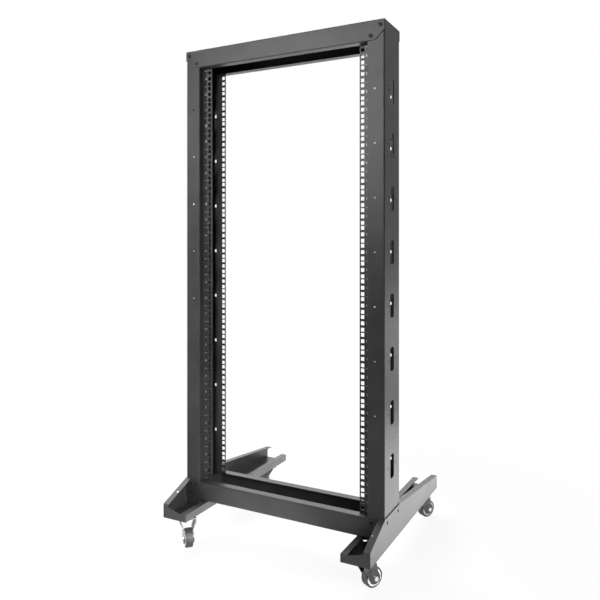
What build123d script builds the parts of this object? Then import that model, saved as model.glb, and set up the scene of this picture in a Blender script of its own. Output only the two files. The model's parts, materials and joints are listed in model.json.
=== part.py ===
from build123d import *
import os

# Equipment space: a 19 inch bay of 26 rack units
unit_height = 44.45
unit_count = 26
hole_step = 15.875
first_hole = 6.35
holes_per_unit = 3
square_hole = 9.5
hole_column_inset = 7.55
opening_width = 450.0
rail_end_margin = 6.0

# Folded steel sheet
sheet = 2.0
rail_sheet = 2.0
bend_radius = 3.0

# Uprights: outer channels with return lips, and mounting angles that reach in from them
rack_width = 600.0
post_depth = 110.0
post_lip = 9.0
rail_reach = 28.0
rail_setback = 20.0
rail_lap = 6.0

# Holes in the uprights, one row of each for every third rack unit
first_row_unit = 2.5
row_pitch_units = 3
row_count = 8
flange_hole_offset = 2.5
front_hole_diameter = 4.8
rear_hole_diameter = 9.6
side_slot_height = 60.0
side_slot_width = 26.0
side_slot_corner = 8.0
slot_screw_offset = 26.0
slot_screw_diameter = 4.2

# Cross beams
beam_height = 50.0
beam_lip = 24.0
top_tab_height = 28.0
corner_cut = 24.0

# Feet: long folded channels, the upright stands near the front end
foot_length = 552.0
foot_front_reach = 99.0
foot_width = 75.0
foot_end_height = 37.0
foot_middle_height = 76.0
foot_inner_height = 20.0
foot_lip = 17.0
end_wall_notch = 7.0
beam_gap = 22.0
drain_hole_diameter = 12.0
drain_hole_inset = 12.0
drain_hole_setback = 26.0
foot_bolt_diameter = 8.5
foot_bolt_inset = 15.0
foot_bolt_drop = 14.0

# Casters
caster_height = 80.0
caster_end_inset = 52.0
caster_side_inset = 40.0
wheel_diameter = 50.0
wheel_width = 20.0
tyre_thickness = 5.0
trail = 28.0
plate_size = 50.0
plate_thickness = 2.5
plate_corner = 6.0
race_diameter = 36.0
race_height = 4.5
running_gap = 0.5
crown_diameter = 46.0
crown_thickness = 4.0
fork_sheet = 2.5
fork_bend = 3.0
fork_side_gap = 1.5
fork_shoulder = 9.0
fork_knee = 27.0
leg_end_radius = 14.5
leg_front = 17.0
leg_back = 21.0
kingpin_diameter = 8.0
kingpin_head_diameter = 14.0
kingpin_head_thickness = 2.0
pin_fit = 0.16
axle_diameter = 6.0
axle_fit = 0.1
axle_head_diameter = 11.0
axle_head_thickness = 5.0
hub_diameter = 16.0
rim_thickness = 2.0
wheel_web = 6.0
caster_angles = {
    "front_right": 60.0,
    "rear_right": 60.0,
    "front_left": -45.0,
    "rear_left": 190.0,
}

# Half length of the cutters, enough to pass through any wall
cutter_reach = 10.0

# Levels and planes that follow from the sizes above
floor_top = caster_height + sheet
beam_bottom = caster_height + beam_gap
beam_top = beam_bottom + beam_height
rail_length = unit_count * unit_height + 2 * rail_end_margin
top_beam_bottom = beam_top + rail_length
top_beam_top = top_beam_bottom + beam_height
first_unit_z = beam_top + rail_end_margin
foot_front = -foot_length / 2
foot_rear = foot_length / 2
foot_end_top = caster_height + foot_end_height
foot_middle_top = caster_height + foot_middle_height
foot_inner_top = caster_height + foot_inner_height
post_front = foot_front + foot_front_reach
post_rear = post_front + post_depth
post_middle = (post_front + post_rear) / 2
post_outer = rack_width / 2 - sheet
post_inner = opening_width / 2 + rail_reach
post_top = top_beam_top - bend_radius
foot_outer = rack_width / 2
foot_inner = foot_outer - foot_width
foot_bolt_z = foot_middle_top - foot_bolt_drop
hole_column_x = opening_width / 2 + hole_column_inset
flange_hole_x = (post_inner + post_outer) / 2 - flange_hole_offset
caster_x = foot_outer - caster_side_inset
axle_z = wheel_diameter / 2 - caster_height
crown_top = -plate_thickness - race_height - running_gap
row_heights = [
    first_unit_z + (first_row_unit + row_pitch_units * row) * unit_height
    for row in range(row_count)
]


def block(x0, x1, y0, y1, z0, z1):
    """A plain box between two corners."""
    return Pos((x0 + x1) / 2, (y0 + y1) / 2, (z0 + z1) / 2) * Box(
        abs(x1 - x0), abs(y1 - y0), abs(z1 - z0)
    )


def bore(axis, x, y, z, diameter, length=2 * cutter_reach):
    """A round pin or cutter centred on a point, along X, Y or Z."""
    turn = {"X": Rot(0, 90, 0), "Y": Rot(90, 0, 0), "Z": Rot(0, 0, 0)}[axis]
    return Pos(x, y, z) * turn * Cylinder(diameter / 2, length)


def folded(points, thickness, radius):
    """A folded sheet section: the outside line with rounded bends, and its wall inside it."""
    outside = FilletPolyline(*points, radius=radius)
    return make_face(offset(outside, amount=thickness, side=Side.LEFT).edges())


def upright_section():
    """The channel of an upright: front flange, side wall, rear flange and two lips."""
    return folded(
        [
            (post_inner, post_front + post_lip),
            (post_inner, post_front),
            (post_outer, post_front),
            (post_outer, post_rear),
            (post_inner, post_rear),
            (post_inner, post_rear - post_lip),
        ],
        sheet,
        bend_radius,
    )


def side_slot(z):
    """A tall round-cornered slot through the side wall of an upright."""
    outline = RectangleRounded(side_slot_height, side_slot_width, side_slot_corner)
    return Pos(post_outer, post_middle, z) * Rot(0, 90, 0) * extrude(outline, cutter_reach, both=True)


def foot_bolt_holes(x):
    """The two bolt holes through a wall of the foot joint, one near each edge of the upright."""
    return [
        bore("X", x, post_front + foot_bolt_inset, foot_bolt_z, foot_bolt_diameter),
        bore("X", x, post_rear - foot_bolt_inset, foot_bolt_z, foot_bolt_diameter),
    ]


def post_right():
    """Right upright with its rows of holes in the flanges and slots in the side wall."""
    body = extrude(Pos(0, 0, floor_top) * upright_section(), amount=post_top - floor_top)
    cutters = foot_bolt_holes(post_outer)
    for z in row_heights:
        cutters.append(side_slot(z))
        cutters.append(bore("Y", flange_hole_x, post_front, z, front_hole_diameter))
        cutters.append(bore("Y", flange_hole_x, post_rear, z, rear_hole_diameter))
        for way in (-1, 1):
            y = post_middle + way * slot_screw_offset
            cutters.append(bore("X", post_outer, y, z, slot_screw_diameter))
    return body - cutters


def square_hole_heights():
    """Heights of the square holes: three to a rack unit."""
    return [
        first_unit_z + unit * unit_height + first_hole + step * hole_step
        for unit in range(unit_count)
        for step in range(holes_per_unit)
    ]


def rail(face, away):
    """One mounting angle: the leg laps inside the upright's lip, the face holds the holes."""
    leg_end = face + away * (rail_setback - post_lip + rail_lap)
    leg_x = post_inner + sheet
    back_x = leg_x + rail_sheet
    leg = block(leg_x, back_x, face, leg_end, 0, rail_length)
    flange = block(opening_width / 2, back_x, face, face - away * rail_sheet, 0, rail_length)
    body = Pos(0, 0, beam_top) * (leg + flange)
    half = square_hole / 2
    holes = [
        block(
            hole_column_x - half,
            hole_column_x + half,
            face - cutter_reach,
            face + cutter_reach,
            z - half,
            z + half,
        )
        for z in square_hole_heights()
    ]
    return body - holes


def beam_body(half_length):
    """A length of cross beam, open upward: two plates over the flanges, a web and two lips."""
    front = post_front - sheet
    rear = post_rear + sheet
    section = folded(
        [
            (front + beam_lip, beam_height),
            (front, beam_height),
            (front, 0),
            (rear, 0),
            (rear, beam_height),
            (rear - beam_lip, beam_height),
        ],
        sheet,
        bend_radius,
    )
    return extrude(Plane.YZ * section, amount=half_length, both=True)


def bottom_beam():
    """Lower cross beam, open upward, with a bolting plate and two flange plates at each end."""
    body = beam_body(post_inner)
    lowest = bend_radius
    highest = beam_height - bend_radius
    for way in (-1, 1):
        inner_x = way * post_inner
        end_x = way * (post_inner - sheet)
        outer_x = way * post_outer
        body += block(end_x, inner_x, post_front - sheet / 2, post_rear + sheet / 2, lowest, highest)
        body += block(end_x, outer_x, post_front - sheet, post_front, lowest, highest)
        body += block(end_x, outer_x, post_rear, post_rear + sheet, lowest, highest)
    return Pos(0, 0, beam_bottom) * body


def top_beam():
    """Upper cross beam: the lower one's section turned over, its web caps both uprights."""
    body = beam_body(post_outer)
    for way in (-1, 1):
        inner_x = way * post_inner
        outer_x = way * post_outer
        lip_z = beam_height - bend_radius
        body -= block(inner_x, outer_x, post_front, post_rear, lip_z, beam_height)
        corner = Polygon(
            (outer_x, beam_height),
            (way * (post_outer - corner_cut), beam_height),
            (outer_x, beam_height - corner_cut),
            align=None,
        )
        for y in (post_front, post_rear):
            body -= extrude(Pos(0, y, 0) * Rot(90, 0, 0) * corner, bend_radius, both=True)
        body += block(
            way * (post_outer - 2 * sheet),
            way * (post_outer - sheet),
            post_front + bend_radius,
            post_rear - bend_radius,
            sheet,
            top_tab_height,
        )
    return Pos(0, 0, top_beam_top) * mirror(body, about=Plane.XY)


def foot_outer_wall():
    """The tall outer wall: low ends that slope up to a level top beside the upright."""
    outline = Polygon(
        (foot_front, caster_height),
        (foot_front, foot_end_top),
        (post_front, foot_middle_top),
        (post_rear, foot_middle_top),
        (foot_rear, foot_end_top),
        (foot_rear, caster_height),
        align=None,
    )
    return Pos(foot_outer - sheet, 0, 0) * extrude(Plane.YZ * outline, sheet, dir=(1, 0, 0))


def foot_slope_lip(y_end, y_post):
    """The lip along one sloping top edge of the outer wall, folded inward."""
    outline = Polygon(
        (y_end, foot_end_top),
        (y_post, foot_middle_top),
        (y_post, foot_middle_top - sheet),
        (y_end, foot_end_top - sheet),
        align=None,
    )
    return Pos(foot_outer - foot_lip, 0, 0) * extrude(Plane.YZ * outline, foot_lip, dir=(1, 0, 0))


def foot_end_wall():
    """Folded-up front wall, high under the outer lip, notched beside it, low at the inner side."""
    outer_top = foot_end_top - sheet / 2
    outline = Polygon(
        (foot_inner, caster_height),
        (foot_outer, caster_height),
        (foot_outer, outer_top),
        (foot_outer - foot_lip, outer_top),
        (foot_outer - foot_lip, outer_top - end_wall_notch),
        (foot_inner + foot_lip, foot_inner_top - sheet),
        (foot_inner, foot_inner_top - sheet),
        align=None,
    )
    return Pos(0, foot_front + sheet, 0) * extrude(Rot(90, 0, 0) * outline, sheet, dir=(0, -1, 0))


def foot_right():
    """Right foot: a folded channel, closed in front and open behind, with lips on its walls."""
    body = block(foot_inner, foot_outer, foot_front, foot_rear, caster_height, floor_top)
    body += foot_outer_wall()
    body += block(foot_inner, foot_inner + sheet, foot_front, foot_rear, caster_height, foot_inner_top)
    body += block(
        foot_inner, foot_inner + foot_lip, foot_front, foot_rear, foot_inner_top - sheet, foot_inner_top
    )
    body += foot_slope_lip(foot_front, post_front)
    body += foot_slope_lip(foot_rear, post_rear)
    body += foot_end_wall()
    drain_x = foot_inner + drain_hole_inset
    drain_y = post_front + drain_hole_setback
    drain = bore("Z", drain_x, drain_y, caster_height, drain_hole_diameter)
    return body - [drain] - foot_bolt_holes(foot_outer)


def mirrored(shape):
    """The left-hand twin of a right-hand piece."""
    return mirror(shape, about=Plane.YZ)


def caster_plate():
    """Top plate of a caster with the fixed cup of its swivel race and the headed kingpin."""
    plate = extrude(RectangleRounded(plate_size, plate_size, plate_corner), amount=-plate_thickness)
    cup = Pos(0, 0, -plate_thickness - race_height / 2) * Cylinder(race_diameter / 2, race_height)
    pin_length = crown_thickness + running_gap - crown_top
    pin = bore("Z", 0, 0, -pin_length / 2, kingpin_diameter, pin_length)
    head_z = -pin_length - kingpin_head_thickness / 2
    head = bore("Z", 0, 0, head_z, kingpin_head_diameter, kingpin_head_thickness)
    return plate + cup + pin + head


def fork_front_section():
    """Front view of the pressed fork: a flat crown and two legs that draw in to the wheel."""
    half_crown = crown_diameter / 2
    half_legs = wheel_width / 2 + fork_side_gap + fork_sheet
    lowest = axle_z - leg_end_radius
    return folded(
        [
            (half_legs, lowest),
            (half_legs, crown_top - fork_knee),
            (half_crown, crown_top - fork_shoulder),
            (half_crown, crown_top),
            (-half_crown, crown_top),
            (-half_crown, crown_top - fork_shoulder),
            (-half_legs, crown_top - fork_knee),
            (-half_legs, lowest),
        ],
        fork_sheet,
        fork_bend,
    )


def fork_side_outline():
    """Side view of the fork: straight edges from the crown that run into the round leg ends."""
    crown_line = Line((-leg_front, crown_top), (leg_back, crown_top))
    leg_end = Pos(trail, axle_z) * Circle(leg_end_radius)
    return make_hull([crown_line, *leg_end.edges()])


def caster_fork():
    """Fork: the folded front section trimmed to the side outline, with a round crown on top."""
    front = extrude(Plane.YZ * fork_front_section(), trail + crown_diameter, both=True)
    side = extrude(Plane.XZ * fork_side_outline(), crown_diameter, both=True)
    crown_middle = crown_top - crown_thickness / 2
    crown = bore("Z", 0, 0, crown_middle, crown_diameter, crown_thickness)
    return (front & side) + crown - [
        bore("Y", trail, 0, axle_z, axle_diameter + axle_fit, 2 * crown_diameter),
        bore("Z", 0, 0, crown_top, kingpin_diameter + pin_fit),
    ]


def caster_axle():
    """Axle bolt with a flat round head at each side of the fork."""
    half = wheel_width / 2 + fork_side_gap + fork_sheet
    pin = bore("Y", trail, 0, axle_z, axle_diameter, 2 * half)
    for way in (-1, 1):
        y = way * (half + axle_head_thickness / 2)
        pin += bore("Y", trail, y, axle_z, axle_head_diameter, axle_head_thickness)
    return pin


def caster_hub():
    """Wheel core: a rim on a thin web around the axle tube."""
    rim_radius = wheel_diameter / 2 - tyre_thickness
    rim = Cylinder(rim_radius, wheel_width) - Cylinder(rim_radius - rim_thickness, wheel_width)
    web = Cylinder(rim_radius - rim_thickness / 2, wheel_web)
    tube = Cylinder(hub_diameter / 2, wheel_width)
    core = rim + web + tube - Cylinder((axle_diameter + pin_fit) / 2, wheel_width)
    return Pos(trail, 0, axle_z) * Rot(90, 0, 0) * core


def caster_tyre():
    """Rubber tread with rounded shoulders, moulded round the wheel core."""
    outer = wheel_diameter / 2
    ring = Cylinder(outer, wheel_width) - Cylinder(outer - tyre_thickness, wheel_width)
    shoulders = ring.edges().filter_by(GeomType.CIRCLE).sort_by(SortBy.RADIUS)[-2:]
    ring = fillet(shoulders, tyre_thickness / 2)
    return Pos(trail, 0, axle_z) * Rot(90, 0, 0) * ring


def caster_place(name):
    """Place and swivel angle of a caster under its foot."""
    end, side = name.split("_")
    y = foot_front + caster_end_inset if end == "front" else foot_rear - caster_end_inset
    x = caster_x if side == "right" else -caster_x
    return Pos(x, y, caster_height) * Rot(0, 0, caster_angles[name])


def assembly():
    """Every node of the rack by name."""
    pieces = {
        "post_right": post_right(),
        "foot_right": foot_right(),
        "rail_right_front": rail(post_front + rail_setback, -1),
        "rail_right_rear": rail(post_rear - rail_setback, 1),
    }
    for name in list(pieces):
        pieces[name.replace("right", "left")] = mirrored(pieces[name])
    pieces["bottom_beam"] = bottom_beam()
    pieces["top_beam"] = top_beam()
    for name, angle in caster_angles.items():
        place = caster_place(name)
        pieces["caster_plate_" + name] = place * Rot(0, 0, -angle) * caster_plate()
        pieces["caster_fork_" + name] = place * caster_fork()
        pieces["caster_axle_" + name] = place * caster_axle()
        pieces["caster_hub_" + name] = place * caster_hub()
        pieces["caster_tyre_" + name] = place * caster_tyre()
    return pieces


os.makedirs("parts", exist_ok=True)
for node, shape in assembly().items():
    export_step(shape, "parts/" + node + ".step")
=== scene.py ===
import json
import math
import bpy
from mathutils import Matrix, Vector


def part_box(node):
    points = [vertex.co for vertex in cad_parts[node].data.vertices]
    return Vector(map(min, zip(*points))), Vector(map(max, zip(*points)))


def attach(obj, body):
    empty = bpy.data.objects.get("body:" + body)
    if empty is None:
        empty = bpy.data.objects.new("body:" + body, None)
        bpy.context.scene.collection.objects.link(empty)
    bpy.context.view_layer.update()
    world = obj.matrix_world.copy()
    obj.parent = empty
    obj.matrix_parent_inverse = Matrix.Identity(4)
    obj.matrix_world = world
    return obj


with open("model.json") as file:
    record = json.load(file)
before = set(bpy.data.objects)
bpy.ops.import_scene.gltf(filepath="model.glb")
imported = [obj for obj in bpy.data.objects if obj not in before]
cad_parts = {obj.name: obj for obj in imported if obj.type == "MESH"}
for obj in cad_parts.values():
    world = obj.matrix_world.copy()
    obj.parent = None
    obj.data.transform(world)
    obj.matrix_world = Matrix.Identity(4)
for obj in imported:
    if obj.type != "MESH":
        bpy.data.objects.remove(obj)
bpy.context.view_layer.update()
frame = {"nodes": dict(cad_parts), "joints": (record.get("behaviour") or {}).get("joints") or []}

scene = bpy.context.scene
scene.view_settings.view_transform = "Standard"

# The viewpoint: a level camera at chest height, off the rack's right front corner.
# A vertical shift of the lens keeps the uprights parallel.
eye_place = (0.8344, -1.6395, 0.825)
eye_turn = math.radians(27.685)
picture_size = 600
focal_pixels = 638.2
horizon_pixel = 243.1
sensor_width = 36.0
camera_data = bpy.data.cameras.new("viewpoint")
camera_data.sensor_width = sensor_width
camera_data.lens = focal_pixels / picture_size * sensor_width
camera_data.shift_y = (horizon_pixel - picture_size / 2) / picture_size
camera = bpy.data.objects.new("viewpoint", camera_data)
camera.location = eye_place
camera.rotation_euler = (math.radians(90), 0, eye_turn)
scene.collection.objects.link(camera)
scene.camera = camera


# The folded frame: uprights, beams, feet and mounting angles of two millimetre steel sheet,
# all in one matt black powder coat. The coat has a fine orange peel and soft edges, and its
# tone drifts a little over the flat faces. The feet get a lighter copy of the coat: painted light on
# their shaded insides.
def new_material(name):
    material = bpy.data.materials.new(name)
    material.use_nodes = True
    nodes = material.node_tree.nodes
    return material, nodes, material.node_tree.links, nodes["Principled BSDF"]


def noise_texture(nodes, links, coordinates, scale, detail):
    noise = nodes.new("ShaderNodeTexNoise")
    noise.inputs["Scale"].default_value = scale
    noise.inputs["Detail"].default_value = detail
    links.new(coordinates, noise.inputs["Vector"])
    return noise.outputs["Fac"]


def ramp(nodes, links, factor, stops):
    colours = nodes.new("ShaderNodeValToRGB")
    for element, (place, colour) in zip(colours.color_ramp.elements, stops):
        element.position = place
        element.color = (*colour, 1.0)
    links.new(factor, colours.inputs["Fac"])
    return colours.outputs["Color"]


def map_value(nodes, links, factor, low, high):
    mapped = nodes.new("ShaderNodeMapRange")
    mapped.inputs["To Min"].default_value = low
    mapped.inputs["To Max"].default_value = high
    links.new(factor, mapped.inputs["Value"])
    return mapped.outputs["Result"]


def grey(tone, blue_gain=1.0, blue_shift=0.0):
    return (tone, tone, tone * blue_gain + blue_shift)


def powder_coat(name, dark, light):
    cloud_scale, speckle_scale, peel_scale = 9.0, 260.0, 900.0
    smooth, rough, sheen = 0.36, 0.48, 0.11
    edge_radius, peel_strength, peel_depth = 0.0009, 0.22, 0.0003
    blue_gain = 1.04
    material, nodes, links, shader = new_material(name)
    coordinates = nodes.new("ShaderNodeTexCoord").outputs["Object"]
    cloud = noise_texture(nodes, links, coordinates, cloud_scale, 3.0)
    stops = [(0.35, grey(dark, blue_gain)), (0.65, grey(light, blue_gain))]
    links.new(ramp(nodes, links, cloud, stops), shader.inputs["Base Color"])
    speckle = noise_texture(nodes, links, coordinates, speckle_scale, 2.0)
    links.new(map_value(nodes, links, speckle, smooth, rough), shader.inputs["Roughness"])
    shader.inputs["Specular IOR Level"].default_value = sheen
    peel = noise_texture(nodes, links, coordinates, peel_scale, 2.0)
    rounding = nodes.new("ShaderNodeBevel")
    rounding.inputs["Radius"].default_value = edge_radius
    rounding.samples = 4
    bump = nodes.new("ShaderNodeBump")
    bump.inputs["Strength"].default_value = peel_strength
    bump.inputs["Distance"].default_value = peel_depth
    links.new(peel, bump.inputs["Height"])
    links.new(rounding.outputs["Normal"], bump.inputs["Normal"])
    links.new(bump.outputs["Normal"], shader.inputs["Normal"])
    return material


def dress(node, material):
    piece = frame["nodes"][node]
    piece.data.materials.clear()
    piece.data.materials.append(material)


upright_coat = powder_coat("black powder coat", dark=0.019, light=0.027)
# The feet's lighter coat is painted light: it brightens their shaded insides in place of more lamp
# light.
foot_coat_with_painted_light = powder_coat("black powder coat of the feet", dark=0.030, light=0.040)
for name in frame["nodes"]:
    if name.startswith("foot_"):
        dress(name, foot_coat_with_painted_light)
    elif not name.startswith("caster_"):
        dress(name, upright_coat)


# The screws that hold the frame: low button heads with a hexagon socket, blackened steel.
# Two sit at each corner of the top beam and three on each end plate of the bottom beam. Two
# larger bolts go through each foot into its upright, with their heads sunk in the foot's wall.
def mottled_finish(name, dark, light, smooth, rough, scale, detail=3.0, metallic=0.0):
    material, nodes, links, shader = new_material(name)
    coordinates = nodes.new("ShaderNodeTexCoord").outputs["Object"]
    cloud = noise_texture(nodes, links, coordinates, scale, detail)
    colour = ramp(nodes, links, cloud, [(0.3, dark), (0.7, light)])
    links.new(colour, shader.inputs["Base Color"])
    links.new(map_value(nodes, links, cloud, smooth, rough), shader.inputs["Roughness"])
    shader.inputs["Metallic"].default_value = metallic
    return material


def select_faces(piece, chosen):
    for polygon in piece.data.polygons:
        polygon.select = chosen(polygon)
    for edge in piece.data.edges:
        edge.select = False
    for vertex in piece.data.vertices:
        vertex.select = False
    for polygon in piece.data.polygons:
        if polygon.select:
            for index in polygon.vertices:
                piece.data.vertices[index].select = True


def standing_cylinder(name, sides, radius, height):
    bpy.ops.object.select_all(action="DESELECT")
    bpy.ops.mesh.primitive_cylinder_add(
        vertices=sides, radius=radius, depth=height, location=(0, 0, height / 2)
    )
    cylinder = bpy.context.object
    cylinder.name = name
    bpy.ops.object.transform_apply(location=True, rotation=True, scale=True)
    return cylinder


def button_head(name, head_radius, head_height):
    head = standing_cylinder(name, 24, head_radius, head_height)
    select_faces(head, lambda polygon: polygon.normal.z > 0.9)
    bpy.ops.object.mode_set(mode="EDIT")
    bpy.ops.mesh.select_mode(type="FACE")
    bpy.ops.mesh.bevel(offset=head_height * 0.55, segments=4, affect="EDGES")
    bpy.ops.object.mode_set(mode="OBJECT")
    select_faces(head, lambda polygon: polygon.normal.z > 0.99)
    socket_depth = head_height * 0.6
    bpy.ops.object.mode_set(mode="EDIT")
    bpy.ops.mesh.inset(thickness=head_radius * 0.12)
    bpy.ops.mesh.inset(thickness=head_radius * 0.10)
    bpy.ops.mesh.extrude_region_move(TRANSFORM_OT_translate={"value": (0, 0, -socket_depth)})
    bpy.ops.object.mode_set(mode="OBJECT")
    bpy.ops.object.shade_smooth_by_angle(angle=math.radians(40))
    return head


def point_along(direction):
    return Vector((0, 0, 1)).rotation_difference(Vector(direction)).to_matrix().to_4x4()


def join(pieces, name):
    bpy.ops.object.select_all(action="DESELECT")
    for piece in pieces:
        piece.select_set(True)
    bpy.context.view_layer.objects.active = pieces[0]
    bpy.ops.object.join()
    joined = bpy.context.object
    joined.name = name
    return joined


def copies_of(master, name, places):
    made = []
    for place, direction in places:
        copy = master.copy()
        copy.data = master.data.copy()
        copy.data.transform(Matrix.Translation(place) @ point_along(direction))
        scene.collection.objects.link(copy)
        made.append(copy)
    return join(made, name)


def give(piece, material, body):
    piece.data.materials.clear()
    piece.data.materials.append(material)
    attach(piece, body)


screw_finish = mottled_finish(
    "blackened screw steel", (0.003, 0.003, 0.0035), (0.006, 0.006, 0.0065), 0.34, 0.50, scale=700.0
)
screw_shader = screw_finish.node_tree.nodes["Principled BSDF"]
screw_shader.inputs["Specular IOR Level"].default_value = 0.08

beam_low, beam_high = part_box("top_beam")
inner_screw_inset, inner_screw_drop = 0.0355, 0.038
outer_screw_inset, outer_screw_drop = 0.0105, 0.0135
corner_places = []
for side in (-1, 1):
    for inset, drop in ((inner_screw_inset, inner_screw_drop), (outer_screw_inset, outer_screw_drop)):
        x = side * (beam_high[0] - inset)
        z = beam_high[2] - drop
        corner_places.append(((x, beam_low[1], z), (0, -1, 0)))
        corner_places.append(((x, beam_high[1], z), (0, 1, 0)))
corner_head = button_head("corner_head", head_radius=0.0050, head_height=0.0024)
corner_screws = copies_of(corner_head, "top_beam_screws", corner_places)
give(corner_screws, screw_finish, "frame")

plate_low, plate_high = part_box("bottom_beam")
plate_inner_x, plate_outer_x = 0.264, 0.281
plate_upper_z, plate_lower_z = 0.142, 0.118
plate_screw_places = []
for side in (-1, 1):
    for x, z in (
        (plate_inner_x, plate_upper_z),
        (plate_outer_x, plate_upper_z),
        (plate_outer_x, plate_lower_z),
    ):
        plate_screw_places.append(((side * x, plate_low[1], z), (0, -1, 0)))
        plate_screw_places.append(((side * x, plate_high[1], z), (0, 1, 0)))
plate_head = button_head("plate_head", head_radius=0.0042, head_height=0.0020)
plate_screws = copies_of(plate_head, "bottom_beam_screws", plate_screw_places)
give(plate_screws, screw_finish, "frame")

foot_low, foot_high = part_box("foot_right")
foot_bolt_ys = (-0.162, -0.082)
foot_bolt_z = 0.142
foot_bolt_recess = 0.0050
bolt_root = foot_high[0] - foot_bolt_recess
foot_bolt_places = [
    ((side * bolt_root, y, foot_bolt_z), (side, 0, 0)) for side in (-1, 1) for y in foot_bolt_ys
]
bolt_head = button_head("bolt_head", head_radius=0.0041, head_height=0.0034)
foot_bolts = copies_of(bolt_head, "foot_bolts", foot_bolt_places)
give(foot_bolts, screw_finish, "frame")
for master in (corner_head, plate_head, bolt_head):
    bpy.data.objects.remove(master)


# The rivets on the sloping lips of the feet: small domes of dull aluminium, one on each
# lip's front slope and one behind the upright, pressed in from above.
def aluminium(name, dark, light):
    blue_shift = 0.01
    return mottled_finish(
        name, grey(dark, 1.0, blue_shift), grey(light, 1.0, blue_shift), 0.25, 0.4,
        scale=900.0, detail=2.0, metallic=0.9,
    )


def domed_rivet(name, radius, height):
    rivet = standing_cylinder(name, 20, radius, height)
    select_faces(rivet, lambda polygon: polygon.normal.z > 0.9)
    bpy.ops.object.mode_set(mode="EDIT")
    bpy.ops.mesh.select_mode(type="FACE")
    bpy.ops.mesh.bevel(offset=height * 0.9, segments=5, affect="EDGES")
    bpy.ops.object.mode_set(mode="OBJECT")
    bpy.ops.object.shade_smooth_by_angle(angle=math.radians(40))
    return rivet


rivet_finish = aluminium("dull rivet aluminium", dark=0.30, light=0.40)
upright_low, upright_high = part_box("post_right")
lip_middle_x = 0.2875
lip_end_z, lip_top_z = 0.117, 0.156
front_rivet_y, rear_rivet_y = -0.230, 0.002
front_rise = (lip_top_z - lip_end_z) / (upright_low[1] - foot_low[1])
rear_rise = (lip_top_z - lip_end_z) / (foot_high[1] - upright_high[1])
front_rivet_z = lip_end_z + (front_rivet_y - foot_low[1]) * front_rise
rear_rivet_z = lip_end_z + (foot_high[1] - rear_rivet_y) * rear_rise
rivet_places = []
for side in (-1, 1):
    x = side * lip_middle_x
    rivet_places.append(((x, front_rivet_y, front_rivet_z), (0, -front_rise, 1)))
    rivet_places.append(((x, rear_rivet_y, rear_rivet_z), (0, rear_rise, 1)))
rivet = domed_rivet("rivet", radius=0.0022, height=0.0010)
rivets = copies_of(rivet, "foot_lip_rivets", rivet_places)
give(rivets, rivet_finish, "frame")


# The rivets of the side walls: pairs of small blackened domes midway between the cable slots,
# set flush from outside and hardly darker than the coat.
row_pitch = 0.13335
first_row_z = 0.269125
row_count = 8
side_rivet_offset = 0.010
side_middle = (upright_low[1] + upright_high[1]) / 2
side_rivet_places = [
    ((side * upright_high[0], side_middle + offset, first_row_z + (row + 0.5) * row_pitch), (side, 0, 0))
    for side in (-1, 1)
    for row in range(row_count - 1)
    for offset in (-side_rivet_offset, side_rivet_offset)
]
side_rivet = domed_rivet("side_rivet", radius=0.0014, height=0.0006)
side_rivets = copies_of(side_rivet, "side_wall_rivets", side_rivet_places)
give(side_rivets, screw_finish, "frame")


# Press-in thread inserts of bright aluminium: small flush caps in the front flange holes,
# pressed into the folded sheet from inside. The right upright has seven, the left one four.
insert_finish = aluminium("bright insert aluminium", dark=0.46, light=0.58)
flange_hole_x = 0.273
insert_depth = 0.0003
left_rows, right_rows = range(3, 7), range(1, 8)
insert_places = [
    ((side * flange_hole_x, upright_low[1] + insert_depth, first_row_z + row * row_pitch), (0, -1, 0))
    for side, rows in ((-1, left_rows), (1, right_rows))
    for row in rows
]
insert = domed_rivet("insert", radius=0.0015, height=0.0006)
inserts = copies_of(insert, "flange_thread_inserts", insert_places)
give(inserts, insert_finish, "frame")
for master in (rivet, side_rivet, insert):
    bpy.data.objects.remove(master)


# The unit marks: a short line at each unit boundary and a number in each unit,
# printed in pale ink on the faces of the four mounting angles.
def printed_number(text, height, turn):
    bpy.ops.object.select_all(action="DESELECT")
    bpy.ops.object.text_add(location=(0, 0, 0))
    number = bpy.context.object
    number.data.body = text
    number.data.size = height
    number.data.extrude = 0.00004
    number.data.offset = 0.00012
    number.data.resolution_u = 2
    number.data.align_x = "CENTER"
    number.data.align_y = "CENTER"
    bpy.ops.object.convert(target="MESH")
    number = bpy.context.object
    number.data.transform(turn)
    return number


def printed_line(length, height, turn):
    ink_thickness = 0.00008
    bpy.ops.object.select_all(action="DESELECT")
    bpy.ops.mesh.primitive_cube_add(size=1)
    line = bpy.context.object
    line.data.transform(turn @ Matrix.Diagonal((length, height, ink_thickness, 1)))
    bpy.ops.object.mode_set(mode="EDIT")
    bpy.ops.mesh.select_all(action="SELECT")
    bpy.ops.mesh.bevel(offset=height * 0.2, segments=2, affect="EDGES")
    bpy.ops.object.mode_set(mode="OBJECT")
    return line


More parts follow.
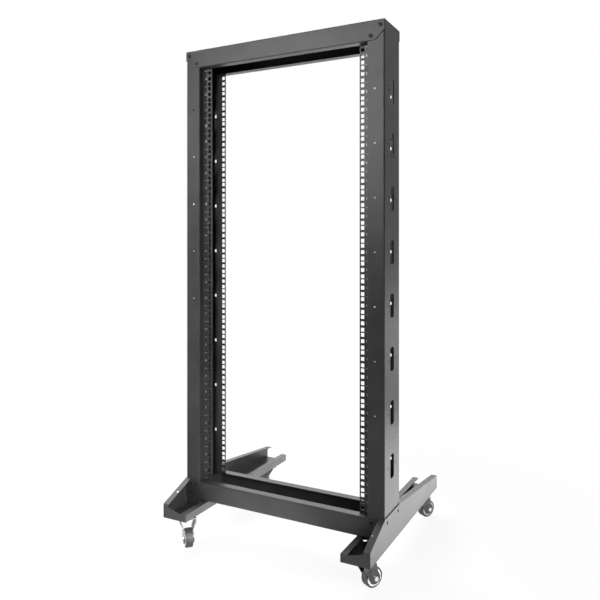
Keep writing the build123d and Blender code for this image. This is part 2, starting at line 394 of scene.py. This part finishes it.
ink = mottled_finish("pale print ink", (0.24, 0.24, 0.25), (0.32, 0.32, 0.33), 0.5, 0.7, scale=420.0)
unit_height = 0.04445
unit_count = 26
rail_end_margin = 0.006
rail_sheet = 0.002
mark_x = 0.2455
number_height = 0.0085
line_length, line_height = 0.0085, 0.0009
ink_lift = 0.00005
for end, out in (("front", -1), ("rear", 1)):
    turn = Matrix.Rotation(math.radians(90), 4, "X")
    if out > 0:
        turn = Matrix.Rotation(math.radians(180), 4, "Z") @ turn
    for side_name, side in (("right", 1), ("left", -1)):
        rail_low, rail_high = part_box(f"rail_{side_name}_{end}")
        face_y = rail_high[1] - rail_sheet if out < 0 else rail_low[1] + rail_sheet
        ink_y = face_y + out * ink_lift
        marks = []
        for unit in range(unit_count + 1):
            z = rail_low[2] + rail_end_margin + unit * unit_height
            line = printed_line(line_length, line_height, turn)
            line.data.transform(Matrix.Translation((side * mark_x, ink_y, z)))
            marks.append(line)
            if unit < unit_count:
                number = printed_number(str(unit + 1), number_height, turn)
                number.data.transform(Matrix.Translation((side * mark_x, ink_y, z + unit_height / 2)))
                marks.append(number)
        unit_marks = join(marks, f"unit_marks_{side_name}_{end}")
        give(unit_marks, ink, "frame")


# Casters: pressed steel plates and forks under the feet in a dark zinc plate, pale moulded
# wheel cores with black rubber treads, and bright axle bolts.
def plated_steel(name, dark, light):
    blue_gain = 1.02
    return mottled_finish(
        name, grey(dark, blue_gain), grey(light, blue_gain), 0.24, 0.38, scale=60.0, metallic=1.0
    )


zinc = plated_steel("dark zinc plate", dark=0.075, light=0.115)
bright_steel = plated_steel("bright bolt steel", dark=0.74, light=0.84)
rubber = mottled_finish(
    "tread rubber", (0.028, 0.028, 0.030), (0.046, 0.046, 0.048), 0.45, 0.65, scale=240.0
)
core_nylon = mottled_finish(
    "wheel core nylon", (0.70, 0.70, 0.69), (0.80, 0.80, 0.79), 0.3, 0.45, scale=120.0
)
for name in frame["nodes"]:
    if name.startswith("caster_tyre"):
        dress(name, rubber)
    elif name.startswith("caster_hub"):
        dress(name, core_nylon)
    elif name.startswith("caster_axle"):
        dress(name, bright_steel)
    elif name.startswith("caster_"):
        dress(name, zinc)


# The bolts of the caster plates: four dark zinc plated bolts to a plate, put in from below.
# Their hexagon heads bear on the underside of the plate and pull it against the foot's floor.
def hexagon_head(name, across, height):
    head = standing_cylinder(name, 6, across / math.sqrt(3), height)
    dish_depth = height * 0.15
    bpy.ops.object.mode_set(mode="EDIT")
    bpy.ops.mesh.select_all(action="SELECT")
    bpy.ops.mesh.bevel(offset=height * 0.12, segments=2, affect="EDGES")
    bpy.ops.object.mode_set(mode="OBJECT")
    select_faces(head, lambda polygon: polygon.normal.z > 0.99)
    bpy.ops.object.mode_set(mode="EDIT")
    bpy.ops.mesh.select_mode(type="FACE")
    bpy.ops.mesh.inset(thickness=across * 0.12)
    bpy.ops.mesh.extrude_region_move(TRANSFORM_OT_translate={"value": (0, 0, -dish_depth)})
    bpy.ops.object.mode_set(mode="OBJECT")
    bpy.ops.object.shade_smooth_by_angle(angle=math.radians(30))
    return head


plate_bottom = 0.0775
bolt_offset = 0.018
plate_bolt_places = [
    ((joint["pos_m"][0] + dx, joint["pos_m"][1] + dy, plate_bottom), (0, 0, -1))
    for joint in frame["joints"]
    if joint["name"].startswith("swivel_")
    for dx in (-bolt_offset, bolt_offset)
    for dy in (-bolt_offset, bolt_offset)
]
plate_bolt = hexagon_head("plate_bolt", across=0.0070, height=0.0022)
plate_bolts = copies_of(plate_bolt, "caster_plate_bolts", plate_bolt_places)
give(plate_bolts, zinc, "frame")
bpy.data.objects.remove(plate_bolt)


# Wheel covers: a thin flat ring of the wheel core's pale nylon on each face of a wheel, and
# inside it a dust cap of dark moulded plastic. Both are snapped on and turn with the wheel.
def cover_ring(name, outer_radius, inner_radius, thickness):
    bpy.ops.object.select_all(action="DESELECT")
    bpy.ops.mesh.primitive_cylinder_add(vertices=64, radius=outer_radius, depth=thickness)
    ring = bpy.context.object
    ring.name = name
    select_faces(ring, lambda polygon: abs(polygon.normal.z) > 0.9)
    bpy.ops.object.mode_set(mode="EDIT")
    bpy.ops.mesh.select_mode(type="FACE")
    bpy.ops.mesh.inset(thickness=outer_radius - inner_radius, use_individual=True)
    bpy.ops.mesh.delete(type="ONLY_FACE")
    bpy.ops.mesh.select_mode(type="EDGE")
    bpy.ops.mesh.select_all(action="DESELECT")
    bpy.ops.mesh.select_non_manifold()
    bpy.ops.mesh.bridge_edge_loops()
    bpy.ops.mesh.select_all(action="DESELECT")
    bpy.ops.mesh.edges_select_sharp(sharpness=math.radians(60))
    bpy.ops.mesh.bevel(offset=thickness * 0.3, segments=3, affect="EDGES")
    bpy.ops.mesh.select_all(action="SELECT")
    bpy.ops.mesh.normals_make_consistent(inside=False)
    bpy.ops.object.mode_set(mode="OBJECT")
    bpy.ops.object.shade_smooth_by_angle(angle=math.radians(40))
    return ring


cap_plastic = mottled_finish(
    "dust cap plastic", (0.035, 0.035, 0.037), (0.055, 0.055, 0.057), 0.35, 0.5, scale=160.0
)
cover_thickness, cover_offset = 0.0014, 0.0096
for family, outer_radius, inner_radius, finish, slot in (
    ("wheel_covers", 0.0197, 0.0156, core_nylon, "wheel_core"),
    ("wheel_dust_caps", 0.0155, 0.0086, cap_plastic, "tyre"),
):
    ring_master = cover_ring("ring_master", outer_radius, inner_radius, cover_thickness)
    for joint in frame["joints"]:
        if joint["name"].startswith("roll_"):
            corner = joint["name"].removeprefix("roll_")
            centre = Vector(joint["pos_m"])
            axis = Vector(joint["axis"])
            faces = [(centre + way * cover_offset * axis, axis) for way in (-1, 1)]
            ring = copies_of(ring_master, f"{family}_{corner}", faces)
            give(ring, finish, joint["child"])
    bpy.data.objects.remove(ring_master)


# The studio: a pale floor that fades to white away from the rack, a white world for the camera
# and for reflections, and soft rectangular lamps at a plain level.
def seen_directly(nodes, links):
    rays = nodes.new("ShaderNodeLightPath")
    seen = rays.outputs["Is Camera Ray"]
    for kind in ("Is Glossy Ray", "Is Transmission Ray"):
        either = nodes.new("ShaderNodeMath")
        either.operation = "MAXIMUM"
        links.new(seen, either.inputs[0])
        links.new(rays.outputs[kind], either.inputs[1])
        seen = either.outputs[0]
    return seen


floor_radius, floor_drop = 6.0, 0.0005
fade_start, fade_end = 0.45, 1.1
tone_near_rack, tone_far_away = 0.90, 1.0
bpy.ops.object.select_all(action="DESELECT")
bpy.ops.mesh.primitive_circle_add(
    vertices=96, radius=floor_radius, fill_type="NGON", location=(0, 0, -floor_drop)
)
floor = bpy.context.object
floor.name = "studio_floor"
floor_paint, nodes, links, shader = new_material("pale floor")
shader.inputs["Base Color"].default_value = (0.82, 0.82, 0.82, 1)
shader.inputs["Roughness"].default_value = 0.7
shader.inputs["Specular IOR Level"].default_value = 0.1
distance = nodes.new("ShaderNodeVectorMath")
distance.operation = "LENGTH"
links.new(nodes.new("ShaderNodeTexCoord").outputs["Object"], distance.inputs[0])
fade = nodes.new("ShaderNodeMapRange")
fade.inputs["From Min"].default_value = fade_start
fade.inputs["From Max"].default_value = fade_end
fade.inputs["To Min"].default_value = tone_near_rack
fade.inputs["To Max"].default_value = tone_far_away
links.new(distance.outputs["Value"], fade.inputs["Value"])
whiteness = nodes.new("ShaderNodeMath")
whiteness.operation = "MULTIPLY"
links.new(seen_directly(nodes, links), whiteness.inputs[0])
links.new(fade.outputs["Result"], whiteness.inputs[1])
glow = nodes.new("ShaderNodeEmission")
glow.inputs["Strength"].default_value = 1.0
blend = nodes.new("ShaderNodeMixShader")
links.new(whiteness.outputs[0], blend.inputs["Fac"])
links.new(shader.outputs["BSDF"], blend.inputs[1])
links.new(glow.outputs["Emission"], blend.inputs[2])
links.new(blend.outputs["Shader"], nodes["Material Output"].inputs["Surface"])
floor.data.materials.append(floor_paint)

ambient_strength = 0.10
world = bpy.data.worlds.new("studio")
scene.world = world
world.use_nodes = True
nodes = world.node_tree.nodes
links = world.node_tree.links
ambient = nodes["Background"]
ambient.inputs["Color"].default_value = (1, 1, 1, 1)
ambient.inputs["Strength"].default_value = ambient_strength
white = nodes.new("ShaderNodeBackground")
white.inputs["Color"].default_value = (1, 1, 1, 1)
white.inputs["Strength"].default_value = 1.0
mix = nodes.new("ShaderNodeMixShader")
links.new(seen_directly(nodes, links), mix.inputs["Fac"])
links.new(ambient.outputs["Background"], mix.inputs[1])
links.new(white.outputs["Background"], mix.inputs[2])
links.new(mix.outputs["Shader"], nodes["World Output"].inputs["Surface"])


def soft_lamp(name, place, target, size, power, spread=180):
    data = bpy.data.lights.new(name, "AREA")
    data.shape = "RECTANGLE"
    data.size, data.size_y = size
    data.energy = power
    data.spread = math.radians(spread)
    lamp = bpy.data.objects.new(name, data)
    lamp.location = place
    aim = Vector(target) - Vector(place)
    lamp.rotation_euler = aim.to_track_quat("-Z", "Y").to_euler()
    lamp.visible_camera = False
    scene.collection.objects.link(lamp)


# The key, left_front and left lamps shape the uprights and the top beam.
soft_lamp("key", (-0.95, -2.0, 1.6), (0.36, -0.18, 1.32), (0.8, 0.8), power=7, spread=34)
soft_lamp("left_front", (0.45, -1.9, 0.95), (-0.27, -0.15, 0.85), (0.2, 1.1), power=1.8, spread=22)
soft_lamp("left", (-2.3, -1.9, 0.65), (-0.2, -0.15, 0.5), (0.8, 1.6), power=27)
# The low lamps and the cards lying by the floor brighten the right side wall and the feet.
soft_lamp("low_rear", (1.3, 1.7, 0.30), (0.3, 0, 0.35), (1.2, 0.4), power=5.5)
soft_lamp("side_card", (0.58, 0.42, 0.03), (0.58, 0.42, 1.0), (0.5, 1.2), power=8.5)
soft_lamp("foot_fill", (0.8, -1.4, 1.1), (-0.2, -0.2, 0.08), (0.5, 0.5), power=1.1, spread=26)
soft_lamp("front_card", (-0.15, -0.50, 0.02), (-0.15, -0.50, 1.0), (0.36, 0.3), power=0.9)
soft_lamp("left_card", (-0.07, 0.15, 0.02), (-0.07, 0.15, 1.0), (0.26, 1.0), power=4)
soft_lamp("low_right", (1.4, -0.7, 0.55), (0, -0.25, 0.1), (0.6, 0.4), power=2.5, spread=60)
# The strip lights the inside of the left upright; top and back lift the lips and the far side.
soft_lamp("inner_strip", (0.12, 0.55, 0.88), (-0.3, -0.12, 0.80), (0.36, 0.7), power=6.5)
soft_lamp("top", (-1.3, 0.4, 1.9), (-0.2, -0.2, 0.15), (1.0, 1.0), power=16, spread=90)
soft_lamp("back", (-1.3, 2.6, 1.3), (0, 0, 0.15), (2.4, 1.0), power=38)
